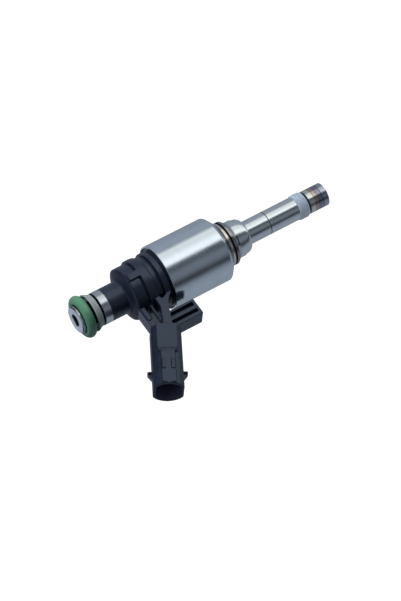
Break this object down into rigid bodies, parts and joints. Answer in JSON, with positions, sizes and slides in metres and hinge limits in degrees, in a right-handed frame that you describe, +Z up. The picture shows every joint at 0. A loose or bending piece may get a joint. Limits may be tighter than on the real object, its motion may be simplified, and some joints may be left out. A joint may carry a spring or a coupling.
{
  "type": "fuel injector",
  "caption": "Solenoid fuel injector for direct injection: slim nozzle with seal, steel can, moulded side connector, inlet with O-ring.",
  "frame": {"origin": "centre of the spray tip's end face, on the injector's axis", "axes": "+Z up the injector's axis from the tip to the fuel inlet; +X to the side of the electrical connector"},
  "size_m": [0.0476, 0.0206, 0.089],
  "materials": {
    "moulding": "satin blue-black glass-filled nylon",
    "can_steel": "turned stainless steel, fine circumferential lines",
    "inlet_steel": "bright turned steel",
    "nozzle_steel": "turned steel, heat tinted near the tip",
    "inner_steel": "machined",
    "green_rubber": "smooth green fluoroelastomer",
    "backup_plastic": "grey polyamide",
    "ptfe": "bluish white PTFE",
    "blade_metal": "tinned bronze",
    "bobbin_plastic": "natural polyester",
    "copper_wire": "enamelled copper wire",
    "washer_brass": "yellow passivated",
    "dark_ring": "dark tempered steel",
    "filter_mesh": "fine woven mesh"
  },
  "bodies": {
    "injector": {"connector_body": "moulding", "solenoid_can": "can_steel", "inlet_tube": "inlet_steel", "inlet_o_ring": "green_rubber", "backup_ring": "backup_plastic", "filter_ring": "washer_brass", "filter_screen": "filter_mesh", "terminal_a": "blade_metal", "terminal_b": "blade_metal", "bobbin": "bobbin_plastic", "coil_winding": "copper_wire", "magnetic_cover": "inner_steel", "pole_core": "inner_steel", "adjusting_sleeve": "washer_brass", "return_spring": "inner_steel", "valve_sleeve": "inner_steel", "nozzle_body": "nozzle_steel", "guide_disc": "inner_steel", "valve_seat": "nozzle_steel", "combustion_seal": "ptfe", "support_washer": "washer_brass", "support_ring": "dark_ring", "split_ring": "dark_ring"},
    "needle_assembly": {"armature": "inner_steel", "needle": "inner_steel", "valve_ball": "inner_steel", "upper_stop_ring": "inner_steel", "lower_stop_ring": "inner_steel"}
  },
  "joints": [
    {"name": "needle_lift", "type": "slide", "parent": "injector", "child": "needle_assembly", "axis": [0, 0, 1], "range_m": [0, 0.00008], "stiffness_N_per_m": 20000, "springref_m": -0.001, "deforming": ["return_spring"]}
  ]
}
